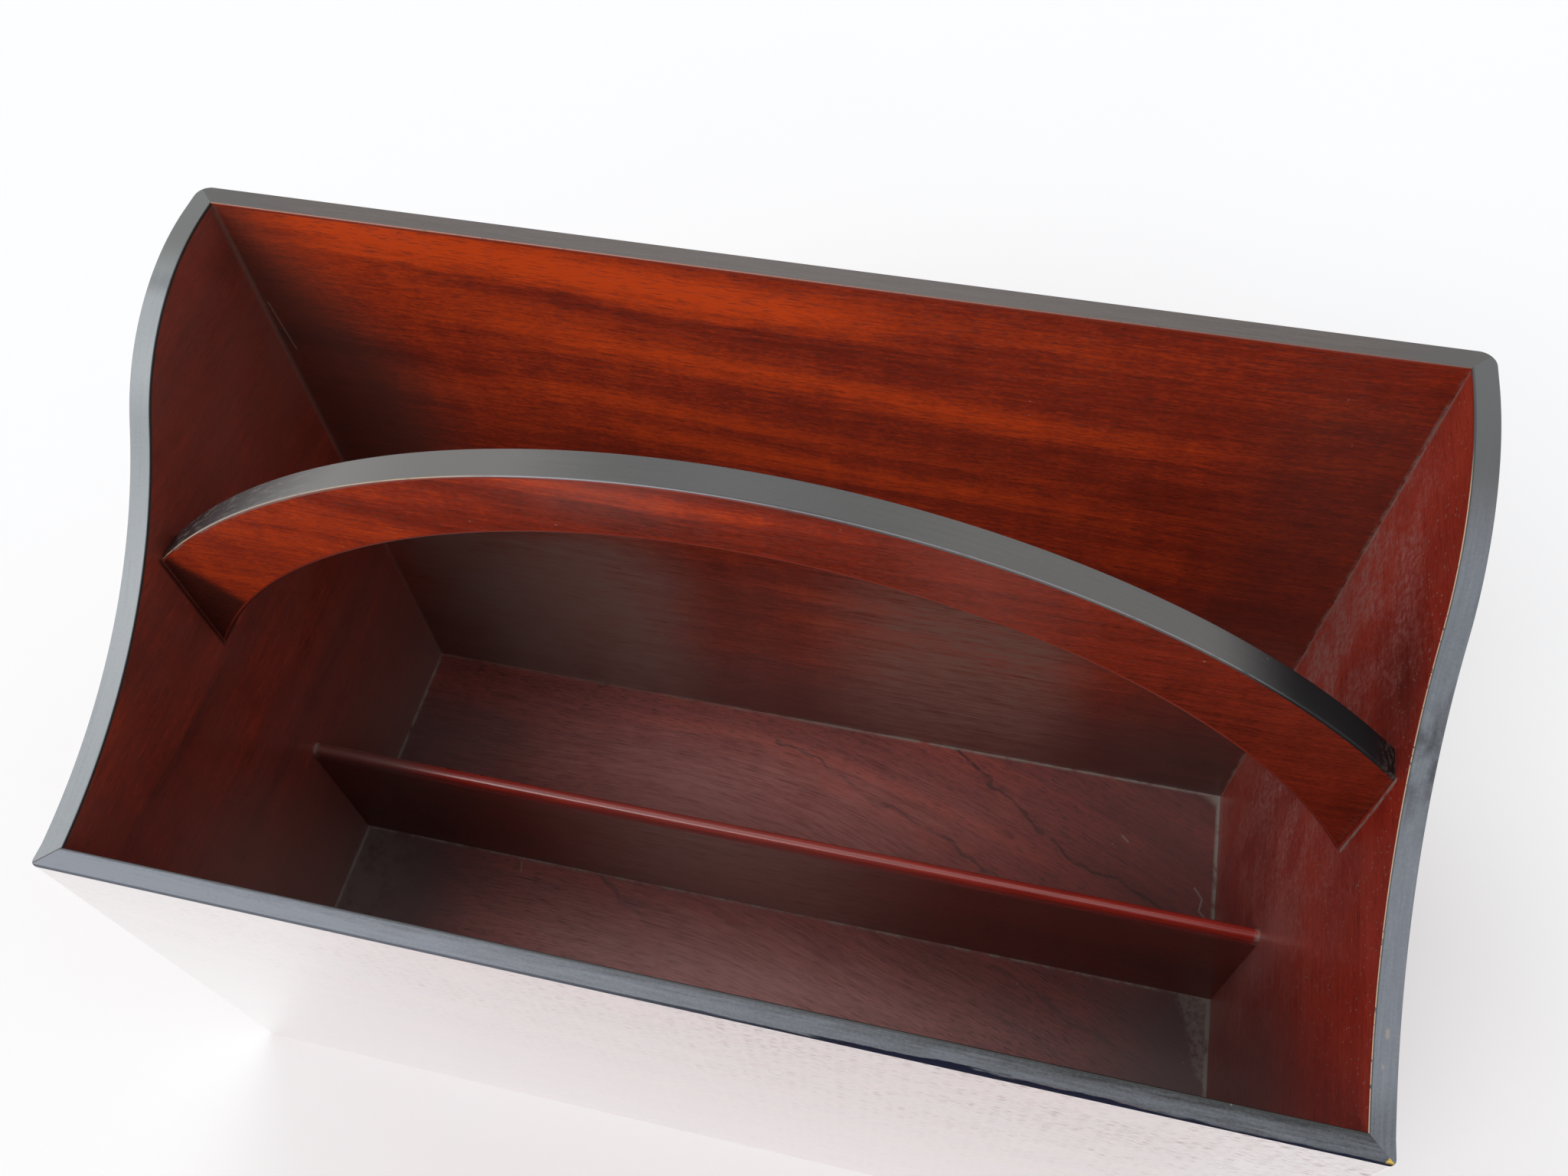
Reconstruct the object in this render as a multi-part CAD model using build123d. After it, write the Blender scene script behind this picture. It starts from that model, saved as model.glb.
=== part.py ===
from build123d import *
import os
from math import cos, radians, sin, sqrt

# Magazine holder: a mitred, veneered box with a low front, a high back and S-curved ends,
# a low divider on the floor and an arched carrying handle between the ends.
# Millimetres. X runs to the right, Y to the back and Z up; the origin is under the middle of the box.

# Box
inner_length = 336.0
inner_depth = 162.0
front_height = 173.0
back_height = 255.0

# Boards and veneers
wall_core = 5.0
floor_core = 2.5
divider_core = 3.5
handle_core = 7.2
veneer = 0.6
edging = 1.0
front_corner_radius = 1.6
back_corner_radius = 4.2
arris = 0.3

# S-curve of the ends: level at the back, a convex shoulder, then a long concave sweep to the front
shoulder_flat = 10.2
shoulder_radius = 74.0
sweep_end_slope = 7.5

# Divider
divider_height = 72.0
divider_lipping = 5.0
housing_depth = 1.6
housing_clearance = 0.1

# Handle: the front faces of the handle and of the divider lie in one plane, a little before the middle.
# Its ends meet the walls a little under their top edge.
partition_plane = -2.0
handle_end_drop = 13.5
handle_rise = 72.5
handle_middle_depth = 21.0
handle_under_rise = 97.7

# Joints
floor_rebate = 2.4
floor_clearance = 0.1
dowel_diameter = 4.0
dowel_pitch = 12.0
dowel_in_wall = 3.4
dowel_in_handle = 12.0
dowel_side_clearance = 0.05
dowel_end_clearance = 0.3
tongue_width = 4.0
tongue_thickness = 1.2
tongue_clearance = 0.05
tongue_margin = 12.0

# Sizes that follow
wall = wall_core + 2 * veneer
half_length = inner_length / 2
half_depth = inner_depth / 2
outer_half_length = half_length + wall
outer_half_depth = half_depth + wall
floor_top = floor_core + 2 * veneer
divider_thickness = divider_core + 2 * veneer
handle_thickness = handle_core + 2 * veneer
handle_middle = partition_plane + handle_thickness / 2
divider_body_top = divider_height - divider_lipping
# Length past every face, for cutting solids and mitre wedges
past = inner_length + inner_depth + back_height

# Centres of the two arcs of the S-curve. The sweep passes through the inner front edge at its end slope
# and touches the shoulder, which gives its radius.
shoulder_centre = Vector(outer_half_depth - shoulder_flat, back_height - shoulder_radius)
sweep_end = Vector(-half_depth, front_height)
sweep_normal = Vector(-sin(radians(sweep_end_slope)), cos(radians(sweep_end_slope)))
end_from_shoulder = sweep_end - shoulder_centre
sweep_radius = (end_from_shoulder.length**2 - shoulder_radius**2) / (
    2 * (shoulder_radius - end_from_shoulder.dot(sweep_normal))
)
sweep_centre = sweep_end + sweep_normal * sweep_radius
towards_sweep = (sweep_centre - shoulder_centre).normalized()


def rim_height(y):
    """Height of the S-curved top edge at a place in the depth."""
    if y < shoulder_centre.X + towards_sweep.X * shoulder_radius:
        return sweep_centre.Y - sqrt(sweep_radius**2 - (y - sweep_centre.X) ** 2)
    return shoulder_centre.Y + sqrt(shoulder_radius**2 - (y - shoulder_centre.X) ** 2)


handle_crown = rim_height(handle_middle) - handle_end_drop + handle_rise
handle_under_crown = handle_crown - handle_middle_depth
handle_top_radius = (half_length**2 + handle_rise**2) / (2 * handle_rise)
handle_under_radius = (half_length**2 + handle_under_rise**2) / (2 * handle_under_rise)


def outline(offset):
    """Plan of the box, offset outwards from its inner faces, with the corner radii of that layer."""
    plan = Rectangle(inner_length + 2 * offset, inner_depth + 2 * offset)
    for outer_radius, row in ((front_corner_radius, 0), (back_corner_radius, -1)):
        radius = outer_radius - (wall - offset)
        if radius > 0:
            plan = fillet(plan.vertices().group_by(Axis.Y)[row], radius)
    return plan


def layer(inner_offset, outer_offset, bottom):
    """Upright layer of the walls, from one offset to another, all round the box."""
    plan = outline(outer_offset) - outline(inner_offset)
    return Pos(0, 0, bottom) * extrude(plan, past)


def under_top(drop):
    """Everything under the top edge of the walls, lowered square to itself by drop."""
    back = (past, back_height - drop)
    shoulder_start = (shoulder_centre.X, back_height - drop)
    turn = shoulder_centre + towards_sweep * (shoulder_radius - drop)
    level_to_centre = sweep_centre.Y - (front_height - drop)
    lip_y = sweep_centre.X + sqrt((sweep_radius + drop) ** 2 - level_to_centre**2)
    lip = (lip_y, front_height - drop)
    front = (-past, front_height - drop)
    shoulder = TangentArc(shoulder_start, turn, tangent=(-1, 0))
    sweep = TangentArc(turn, lip, tangent=shoulder % 1)
    rest = Polyline(lip, front, (-past, -past), (past, -past), back, shoulder_start)
    face = make_face(shoulder + sweep + rest)
    return extrude(Plane.YZ * face, past, both=True)


def wedge(side):
    """Quarter of the box that belongs to one wall, bounded by the mitre planes of its corners."""
    ridge = half_length - half_depth
    run = outer_half_depth + wall
    if side in ("front", "back"):
        points = [(-ridge, 0), (ridge, 0), (ridge + run, -run), (-ridge - run, -run)]
        turned = 0 if side == "front" else 180
    else:
        points = [(-ridge, 0), (-ridge - run, run), (-ridge - run, -run)]
        turned = 0 if side == "left" else 180
    plan = make_face(Polyline(*points, close=True))
    return extrude(Rot(0, 0, turned) * plan, past)


def arch(radius, crown):
    """Arc over the middle of the box, from one end wall to the other."""
    end_height = crown - radius + sqrt(radius**2 - half_length**2)
    return ThreePointArc((-half_length, end_height), (0, crown), (half_length, end_height))


def arched_board(upper, lower, y_from, y_to):
    """Upright board between two arches and between two places in the depth."""
    left = Line(lower @ 0, upper @ 0)
    right = Line(upper @ 1, lower @ 1)
    face = make_face(upper + right + lower + left)
    return extrude(Plane.XZ.offset(-y_from) * face, y_from - y_to)


def mirrored(solid):
    """A solid and its image on the other side of the middle, as a group."""
    return Compound(children=[solid, mirror(solid, about=Plane.YZ)])


def dowel_centres():
    """Heights of the two dowels at a handle end, between its underside and its top."""
    inner_reach = half_length - dowel_in_handle
    lowest = handle_under_crown - handle_under_radius + sqrt(handle_under_radius**2 - inner_reach**2)
    highest = handle_crown - handle_top_radius + sqrt(handle_top_radius**2 - half_length**2)
    middle = (lowest + highest) / 2
    return [middle - dowel_pitch / 2, middle + dowel_pitch / 2]


def dowel(height, radius, extra):
    """Dowel across the joint of the handle and the right-hand wall, or with extra, its bore."""
    start = half_length - dowel_in_handle - extra
    end = half_length + veneer + dowel_in_wall + extra
    place = Plane(origin=(start, handle_middle, height), z_dir=(1, 0, 0))
    return extrude(place * Circle(radius), end - start)


def dowel_bores():
    """The four bores for the dowels, in the walls and the handle alike."""
    bore_radius = dowel_diameter / 2 + dowel_side_clearance
    bores = [dowel(height, bore_radius, dowel_end_clearance) for height in dowel_centres()]
    return [side for bore in bores for side in (bore, mirror(bore, about=Plane.YZ))]


def tongue(side_y, clearance):
    """Loose tongue across the mitre of a right-hand corner, or with a clearance, its groove."""
    top = front_height if side_y < 0 else back_height
    bottom = floor_top + tongue_margin - clearance
    height = top - tongue_margin + clearance - bottom
    plan = Rectangle(tongue_width + 2 * clearance, tongue_thickness + 2 * clearance)
    reach = veneer + wall_core / 2
    place = Pos(half_length + reach, side_y * (half_depth + reach), bottom) * Rot(0, 0, -45 * side_y)
    return extrude(place * plan, height)


def tongue_grooves():
    """Grooves for the tongues, in the four corners."""
    grooves = [tongue(side_y, tongue_clearance) for side_y in (-1, 1)]
    return [side for groove in grooves for side in (groove, mirror(groove, about=Plane.YZ))]


def centred_box(half_x, y_from, y_to, z_from, z_to):
    """Box centred across the width, given by its faces in depth and height."""
    size = (2 * half_x, y_to - y_from, z_to - z_from)
    return Pos(0, (y_from + y_to) / 2, (z_from + z_to) / 2) * Box(*size)


def divider_housing():
    """Stopped housings in the two ends that take the body of the divider."""
    return centred_box(
        half_length + housing_depth,
        partition_plane - housing_clearance,
        partition_plane + divider_thickness + housing_clearance,
        floor_top,
        divider_body_top,
    )


def eased(strip):
    """Edging strip of a wall with its upper arrises taken off, except at its mitres."""
    upper, sides = ShapeList(), ShapeList()
    for face in strip.faces():
        normal = face.normal_at()
        if normal.Z > 0:
            upper += face.edges()
        elif abs(normal.Z) < 0.01 and abs(abs(normal.X) - abs(normal.Y)) > 0.01:
            sides += face.edges()
    return chamfer(ShapeList(edge for edge in upper if any(edge.is_same(side) for side in sides)), arris)


def wall_pieces():
    """Cores, veneers and edging of the four walls, cut from four layers by the mitres."""
    below_edging = under_top(edging)
    seat_reach = veneer + floor_rebate
    seat_depth = half_depth + seat_reach
    core = layer(veneer, wall - veneer, 0) & below_edging
    core -= centred_box(half_length + seat_reach, -seat_depth, seat_depth, 0, floor_top)
    core -= [divider_housing(), *dowel_bores(), *tongue_grooves()]
    inner = layer(0, veneer, floor_top) & below_edging
    inner -= [divider_housing(), *dowel_bores()]
    outer = layer(wall - veneer, wall, 0) & below_edging
    strip = layer(0, wall, 0) & (under_top(0) - below_edging)
    pieces = {}
    for side in ("front", "back", "left", "right"):
        quarter = wedge(side)
        pieces[f"{side}_core"] = core & quarter
        pieces[f"{side}_inner_veneer"] = inner & quarter
        pieces[f"{side}_outer_veneer"] = outer & quarter
        pieces[f"{side}_top_edging"] = eased(strip & quarter)
    return pieces


def floor_pieces():
    """Three plies of the floor, which is let into the walls from underneath."""
    reach = veneer + floor_rebate - floor_clearance
    levels = {"floor_backing_veneer": (0, veneer), "floor_core": (veneer, veneer + floor_core)}
    levels["floor_veneer"] = (veneer + floor_core, floor_top)
    return {
        name: centred_box(half_length + reach, -half_depth - reach, half_depth + reach, low, high)
        for name, (low, high) in levels.items()
    }


def divider_pieces():
    """Divider: a veneered board in its housings, and a round-nosed lipping between the ends."""
    reach = half_length + housing_depth - housing_clearance
    front = partition_plane + veneer
    back = front + divider_core
    body = {
        "divider_front_veneer": (partition_plane, front),
        "divider_core": (front, back),
        "divider_back_veneer": (back, back + veneer),
    }
    pieces = {
        name: centred_box(reach, low, high, floor_top, divider_body_top)
        for name, (low, high) in body.items()
    }
    nose = divider_thickness / 2
    side_height = divider_height - nose
    low_front = (partition_plane, divider_body_top)
    low_back = (back + veneer, divider_body_top)
    sides = Polyline((low_front[0], side_height), low_front, low_back, (low_back[0], side_height))
    round_top = ThreePointArc(sides @ 0, (partition_plane + nose, divider_height), sides @ 1)
    section = make_face(sides + round_top)
    pieces["divider_lipping"] = extrude(Plane.YZ * section, half_length, both=True)
    return pieces


def eased_arch(strip, radius):
    """Edging strip of the handle with the arrises of its outer arc taken off."""
    arcs = strip.edges().filter_by(GeomType.CIRCLE)
    return chamfer(arcs.filter_by(lambda arc: abs(arc.radius - radius) < arris), arris)


def handle_pieces():
    """Arched handle: core between two veneers, with a black strip over and under them."""
    front = partition_plane + veneer
    back = front + handle_core
    far = back + veneer
    top = arch(handle_top_radius, handle_crown)
    board_top = arch(handle_top_radius - edging, handle_crown - edging)
    board_under = arch(handle_under_radius + edging, handle_under_crown + edging)
    under = arch(handle_under_radius, handle_under_crown)
    top_strip = arched_board(top, board_top, partition_plane, far)
    under_strip = arched_board(board_under, under, partition_plane, far)
    return {
        "handle_front_veneer": arched_board(board_top, board_under, partition_plane, front),
        "handle_core": arched_board(board_top, board_under, front, back) - dowel_bores(),
        "handle_back_veneer": arched_board(board_top, board_under, back, far),
        "handle_top_edging": eased_arch(top_strip, handle_top_radius),
        "handle_under_edging": eased_arch(under_strip, handle_under_radius),
    }


def joint_pieces():
    """Dowels at the handle ends and loose tongues in the corner mitres."""
    right = Compound(children=[dowel(height, dowel_diameter / 2, 0) for height in dowel_centres()])
    return {
        "right_handle_dowels": right,
        "left_handle_dowels": mirror(right, about=Plane.YZ),
        "front_corner_tongues": mirrored(tongue(-1, 0)),
        "back_corner_tongues": mirrored(tongue(1, 0)),
    }


os.makedirs("parts", exist_ok=True)
pieces = wall_pieces() | floor_pieces() | divider_pieces() | handle_pieces() | joint_pieces()
for name, piece in pieces.items():
    export_step(piece, f"parts/{name}.step")
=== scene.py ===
"""Magazine holder: a mahogany box with black edging, a low divider and an arched carrying handle.

The flat boards are the nodes of the model, which get their finishes here. The edging of the walls and
of the handle and the lipping of the divider are modelled again, with round arrises and smooth curves.
"""

from functools import partialmethod
from math import asin, atan2, cos, pi, radians, sin

import bmesh
import bpy
from bpy.props import FloatProperty, FloatVectorProperty, PointerProperty
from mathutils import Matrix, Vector


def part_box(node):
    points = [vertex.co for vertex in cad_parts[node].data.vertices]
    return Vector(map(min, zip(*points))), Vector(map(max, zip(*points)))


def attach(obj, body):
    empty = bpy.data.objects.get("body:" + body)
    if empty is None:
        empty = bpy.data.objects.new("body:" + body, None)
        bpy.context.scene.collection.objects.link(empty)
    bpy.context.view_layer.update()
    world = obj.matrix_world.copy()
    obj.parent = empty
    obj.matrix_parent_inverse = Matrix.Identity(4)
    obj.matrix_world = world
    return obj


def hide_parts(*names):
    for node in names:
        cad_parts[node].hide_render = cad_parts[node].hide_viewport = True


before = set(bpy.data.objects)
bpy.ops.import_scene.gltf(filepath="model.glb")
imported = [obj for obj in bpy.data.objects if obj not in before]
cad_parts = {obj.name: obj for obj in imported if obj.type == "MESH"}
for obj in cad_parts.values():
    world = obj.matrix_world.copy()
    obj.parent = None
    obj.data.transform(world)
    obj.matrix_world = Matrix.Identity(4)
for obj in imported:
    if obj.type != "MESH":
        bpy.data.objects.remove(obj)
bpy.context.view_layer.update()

bl_info = {
    "name": "Magazine Holder",
    "version": (1, 0, 0),
    "blender": (4, 5, 0),
    "location": "View3D > Sidebar > Magazine Holder",
    "description": "Edging, lipping and finishes of a handled magazine holder",
    "category": "Object",
}

MM = 0.001
CLOSE = 1e-5  # how near two points are that count as one
RIM_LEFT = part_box("left_top_edging")
RIM_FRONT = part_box("front_top_edging")
RIM_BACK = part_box("back_top_edging")
HANDLE_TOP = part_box("handle_top_edging")
HANDLE_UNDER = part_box("handle_under_edging")
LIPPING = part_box("divider_lipping")
FLOOR_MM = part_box("floor_veneer")[1].z / MM

# Half the length and depth of the box, inside and outside, and its two heights.
OUTER_X = -RIM_LEFT[0].x
INNER_X = -RIM_LEFT[1].x
OUTER_Y = RIM_BACK[1].y
INNER_Y = RIM_BACK[0].y
FRONT_TOP = RIM_FRONT[1].z
BACK_TOP = RIM_BACK[1].z

# Half the inside length and depth of the box in millimetres, for the finishes.
SIDE_MM = 168
DEPTH_MM = 81


def length(name, description, default):
    """A size that a user can change, in metres."""
    return FloatProperty(name=name, description=description, default=default, min=0.0, unit="LENGTH")


def colour(name, description, default):
    """A colour that a user can change."""
    return FloatVectorProperty(
        name=name, description=description, default=default, size=3, subtype="COLOR", min=0.0, max=1.0
    )


class RimSizes(bpy.types.PropertyGroup):
    """Sizes of the black edging along the top of the four walls."""

    thickness: length("Thickness", "Thickness of the edging", RIM_FRONT[1].z - RIM_FRONT[0].z)
    shoulder_flat: length("Level stretch", "Level stretch of an end at the back", 0.0102)
    shoulder_radius: length("Shoulder radius", "Radius of the convex shoulder of an end", 0.074)
    front_corner: length("Front corner radius", "Radius of the two front corners", 0.0016)
    back_corner: length("Back corner radius", "Radius of the two back corners", 0.0042)
    arris: length("Arris radius", "Rounding of the long edges", 0.0004)
    end_slope: FloatProperty(
        name="Slope at the front",
        description="Slope of an end's curve where it meets the front",
        default=radians(7.5),
        subtype="ANGLE",
    )


class HandleSizes(bpy.types.PropertyGroup):
    """Sizes of the black strips over and under the arched handle."""

    thickness: length("Thickness", "Thickness of the strips", 0.001)
    top_rise: length("Top rise", "Rise of the upper arch over its ends", 0.0725)
    under_rise: length("Under rise", "Rise of the lower arch over its ends", 0.0977)
    arris: length("Arris radius", "Rounding of the long edges", 0.0005)


class LippingSizes(bpy.types.PropertyGroup):
    """Sizes of the round-nosed lipping on the divider."""

    nose_share: FloatProperty(
        name="Roundness", description="Radius of the nose as a share of half its thickness", default=0.98
    )


class FinishColours(bpy.types.PropertyGroup):
    """Colours of the veneers and the hidden woods, the lacquer and its painted sheen, the milky film of old
    polish with its painted sheen, and the dust.
    """

    mahogany_dark: colour("Mahogany, dark", "Dark stripes of the veneer", (0.045, 0.007, 0.0045))
    mahogany_middle: colour("Mahogany, middle", "Middle tone of the veneer", (0.235, 0.024, 0.0095))
    mahogany_light: colour("Mahogany, light", "Light stripes of the veneer", (0.660, 0.068, 0.010))
    crimson_dark: colour("Right end, dark", "Dark tone inside the right end", (0.060, 0.009, 0.007))
    crimson_middle: colour("Right end, middle", "Middle tone inside the right end", (0.280, 0.023, 0.013))
    crimson_light: colour("Right end, light", "Light tone inside the right end", (0.480, 0.056, 0.030))
    rosewood_dark: colour("Floor, dark", "Dark veins of the floor", (0.050, 0.017, 0.016))
    rosewood_middle: colour("Floor, middle", "Middle tone of the floor", (0.245, 0.056, 0.048))
    rosewood_light: colour("Floor, light", "Light flames of the floor", (0.520, 0.095, 0.066))
    core_dark: colour("Core, dark", "Dark tone of the boards inside", (0.42, 0.27, 0.14))
    core_middle: colour("Core, middle", "Middle tone of the boards inside", (0.56, 0.39, 0.22))
    core_light: colour("Core, light", "Light tone of the boards inside", (0.68, 0.51, 0.32))
    beech_dark: colour("Beech, dark", "Dark tone of the dowels and tongues", (0.46, 0.27, 0.14))
    beech_middle: colour("Beech, middle", "Middle tone of the dowels and tongues", (0.60, 0.39, 0.22))
    beech_light: colour("Beech, light", "Light tone of the dowels and tongues", (0.72, 0.50, 0.31))
    lacquer: colour("Lacquer", "Black lacquer", (0.012, 0.013, 0.015))
    # The four colours below are painted sheen: the sky's reflection on the satin lacquer, laid into its
    # colour.
    lacquer_haze: colour("Lacquer, rubbed", "Slate haze on the front and right", (0.235, 0.258, 0.300))
    lacquer_pale: colour("Lacquer, pale", "Pale haze on the left", (0.300, 0.325, 0.346))
    lacquer_warm: colour("Lacquer, warm", "Warmer haze on the back", (0.125, 0.102, 0.094))
    lacquer_satin: colour("Lacquer, satin", "Neutral haze on the handle", (0.130, 0.127, 0.123))
    # The three colours below are a milky film that is partly bloomed old polish and partly painted sheen of
    # reflected light.
    bloom_and_sheen: colour("Bloom", "Milky bloom of old polish", (0.300, 0.110, 0.090))
    grey_bloom_and_sheen: colour("Bloom, grey", "Greyer bloom low inside the box", (0.240, 0.135, 0.115))
    rosy_bloom_and_sheen: colour("Bloom, rosy", "Rosy bloom on the right end and the floor", (0.472, 0.194, 0.176))
    dust: colour("Dust", "Dust in the joints", (0.300, 0.265, 0.235))
    bare_wood: colour("Bare wood", "Wood where the lacquer is worn away", (0.640, 0.440, 0.270))


class StageSettings(bpy.types.PropertyGroup):
    """Floor and light."""

    floor: colour("Floor", "Colour of the floor", (0.965, 0.974, 0.986))
    key_strength: FloatProperty(name="Key", description="Soft light from the front left", default=1.05)
    back_strength: FloatProperty(name="Back", description="Soft light from behind", default=0.34)
    left_strength: FloatProperty(name="Left", description="Soft light from the left", default=0.30)
    sky_strength: FloatProperty(name="Sky", description="Even light all round", default=0.61)


def deselect_all():
    """Leaves nothing selected."""
    bpy.ops.object.select_all(action="DESELECT")


def add_block(name, low, high):
    """A block between two corners, ready to be shaped."""
    deselect_all()
    low, high = Vector(low), Vector(high)
    bpy.ops.mesh.primitive_cube_add(size=1.0, location=(low + high) / 2)
    bpy.ops.transform.resize(value=high - low)
    return named(name)


def add_section(name, centre, width, height, slope):
    """An upright rectangle across the x direction, leaning with a curve that has this slope."""
    deselect_all()
    bpy.ops.mesh.primitive_plane_add(size=1.0, location=centre, rotation=(0, pi / 2 - slope, 0))
    bpy.context.object.scale = (height, width, 1)
    return named(name)


def named(name):
    """Names the piece that was just added, and puts its place into its mesh."""
    bpy.ops.object.transform_apply(location=True, rotation=True, scale=True)
    piece = bpy.context.view_layer.objects.active
    piece.name = piece.data.name = name
    return piece


def bmesh_of(piece):
    """The mesh that is being edited."""
    mesh = bmesh.from_edit_mesh(piece.data)
    mesh.normal_update()
    return mesh


def open_for_editing(piece):
    """Starts edit mode on a piece."""
    bpy.context.view_layer.objects.active = piece
    bpy.ops.object.mode_set(mode="EDIT")


def close_editing():
    """Ends edit mode."""
    bpy.ops.object.mode_set(mode="OBJECT")


def choose(piece, kind, test):
    """Selects just the faces or edges of the edited mesh that pass a test. At least one has to."""
    bpy.ops.mesh.select_mode(type={"faces": "FACE", "edges": "EDGE"}[kind])
    bpy.ops.mesh.select_all(action="DESELECT")
    mesh = bmesh_of(piece)
    chosen = [element for element in getattr(mesh, kind) if test(element)]
    if not chosen:
        raise RuntimeError(f"{piece.name}: no {kind} to shape here")
    for element in chosen:
        element.select_set(True)
    bmesh.update_edit_mesh(piece.data)


def cut(point, normal):
    """Cuts the edited mesh along a plane, and closes it there. What lies ahead of the plane is dropped."""
    bpy.ops.mesh.select_all(action="SELECT")
    bpy.ops.mesh.bisect(plane_co=point, plane_no=normal, use_fill=True, clear_outer=True, threshold=1e-7)


def round_edges(radius, segments):
    """Rounds the selected edges."""
    bpy.ops.mesh.bevel(offset=radius, segments=segments, affect="EDGES", clamp_overlap=True)


def is_arris(edge):
    """Whether an edge lies between a side of a strip and its top."""
    if len(edge.link_faces) != 2:
        return False
    tilts = sorted(face.normal.z for face in edge.link_faces)
    return abs(tilts[0]) < 0.2 and tilts[1] > 0.5


def finish_shape(piece, body_slot, *nodes):
    """Smooths a finished piece and puts it in place of its nodes."""
    close_editing()
    bpy.ops.object.shade_smooth_by_angle(angle=radians(35))
    weighted = piece.modifiers.new("Even normals", "WEIGHTED_NORMAL")
    weighted.keep_sharp = True
    bpy.ops.object.modifier_apply(modifier=weighted.name)
    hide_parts(*nodes)
    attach(piece, "root")


def round_corner(piece, side_y, radius, segments):
    """Rounds the upright outer edges at the front or the back of a strip."""

    def is_corner(edge):
        a, b = (vertex.co for vertex in edge.verts)
        at_corner = all(abs(abs(v.x) - OUTER_X) < CLOSE and abs(v.y - side_y) < CLOSE for v in (a, b))
        return at_corner and abs(a.x - b.x) < CLOSE

    choose(piece, "edges", is_corner)
    round_edges(radius, segments)


def straight_rim(name, box, sizes, is_back):
    """Edging strip of the front or of the back, mitred at both ends."""
    piece = add_block(name, (-OUTER_X, box[0].y, box[0].z), (OUTER_X, box[1].y, box[1].z))
    open_for_editing(piece)
    if is_back:
        round_corner(piece, OUTER_Y, sizes.back_corner, 12)
    else:
        round_corner(piece, -OUTER_Y, sizes.front_corner, 6)
    choose(piece, "edges", is_arris)
    round_edges(sizes.arris, 3)
    towards = 1 if is_back else -1
    for end in (-1, 1):
        cut((end * INNER_X, towards * INNER_Y, 0), (end, -towards, 0))
    finish_shape(piece, "black_lacquered_edge", name.replace("_rim", "_top_edging"))


def side_rim(name, side, sizes):
    """Edging strip of an end: level, over the shoulder, down the long sweep, and level over the front."""
    shoulder = Vector((OUTER_Y - sizes.shoulder_flat, BACK_TOP - sizes.shoulder_radius))
    sweep_end = Vector((-INNER_Y, FRONT_TOP))
    sweep_normal = Vector((-sin(sizes.end_slope), cos(sizes.end_slope)))
    reach = sweep_end - shoulder
    sweep_radius = (reach.length_squared - sizes.shoulder_radius**2) / (
        2 * (sizes.shoulder_radius - reach.dot(sweep_normal))
    )
    sweep = sweep_end + sweep_normal * sweep_radius
    link = sweep - shoulder
    turn = atan2(-link.x, link.y)
    x_from, x_to = sorted((side * INNER_X, side * OUTER_X))
    piece = add_block(name, (x_from, shoulder.x, BACK_TOP - sizes.thickness), (x_to, OUTER_Y, BACK_TOP))
    open_for_editing(piece)
    choose(piece, "faces", lambda face: face.normal.y < -0.9)
    spin_section(turn, (0, shoulder.x, shoulder.y), 24)
    spin_section(sizes.end_slope - turn, (0, sweep.x, sweep.y), 36)
    bpy.ops.mesh.extrude_region_move(TRANSFORM_OT_translate={"value": (0, INNER_Y - OUTER_Y, 0)})
    bpy.ops.transform.resize(value=(1, 0, 1), center_override=(0, -OUTER_Y, FRONT_TOP))
    round_corner(piece, OUTER_Y, sizes.back_corner, 12)
    round_corner(piece, -OUTER_Y, sizes.front_corner, 6)
    choose(piece, "edges", is_arris)
    round_edges(sizes.arris, 3)
    for end in (-1, 1):
        cut((side * INNER_X, end * INNER_Y, 0), (-side, end, 0))
    finish_shape(piece, "black_lacquered_edge", name.replace("_rim", "_top_edging"))


def spin_section(angle, centre, steps):
    """Draws the selected end of a strip out along an arc in the plane of an end wall."""
    bpy.ops.mesh.spin(steps=steps, angle=-angle, center=centre, axis=(1, 0, 0), use_auto_merge=False)


def arched_strip(name, crown, rise, box, sizes, is_top):
    """Strip along one arch of the handle, trimmed where it meets the ends."""
    radius = (INNER_X**2 + rise**2) / (2 * rise)
    middle_y = (box[0].y + box[1].y) / 2
    width = box[1].y - box[0].y
    centre_z = crown - radius
    spare = radians(3)
    swing = asin(INNER_X / radius) + spare
    mean = radius - sizes.thickness / 2 if is_top else radius + sizes.thickness / 2
    start = (-mean * sin(swing), middle_y, centre_z + mean * cos(swing))
    piece = add_section(name, start, width, sizes.thickness, swing)
    open_for_editing(piece)
    bpy.ops.mesh.select_all(action="SELECT")
    bpy.ops.mesh.spin(
        steps=96, angle=-2 * swing, center=(0, middle_y, centre_z), axis=(0, 1, 0), use_auto_merge=False
    )
    for end in (-1, 1):
        cut((end * INNER_X, 0, 0), (end, 0, 0))
    bpy.ops.mesh.select_all(action="SELECT")
    bpy.ops.mesh.normals_make_consistent(inside=False)
    shown = 1 if is_top else -1

    def is_shown_arris(edge):
        if len(edge.link_faces) != 2:
            return False
        flat, tilted = sorted(edge.link_faces, key=lambda face: abs(face.normal.z))
        return abs(flat.normal.y) > 0.9 and tilted.normal.z * shown > 0.2

    choose(piece, "edges", is_shown_arris)
    round_edges(sizes.arris, 3)
    finish_shape(piece, "black_lacquered_edge", name.replace("_strip", "_edging"))


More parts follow.
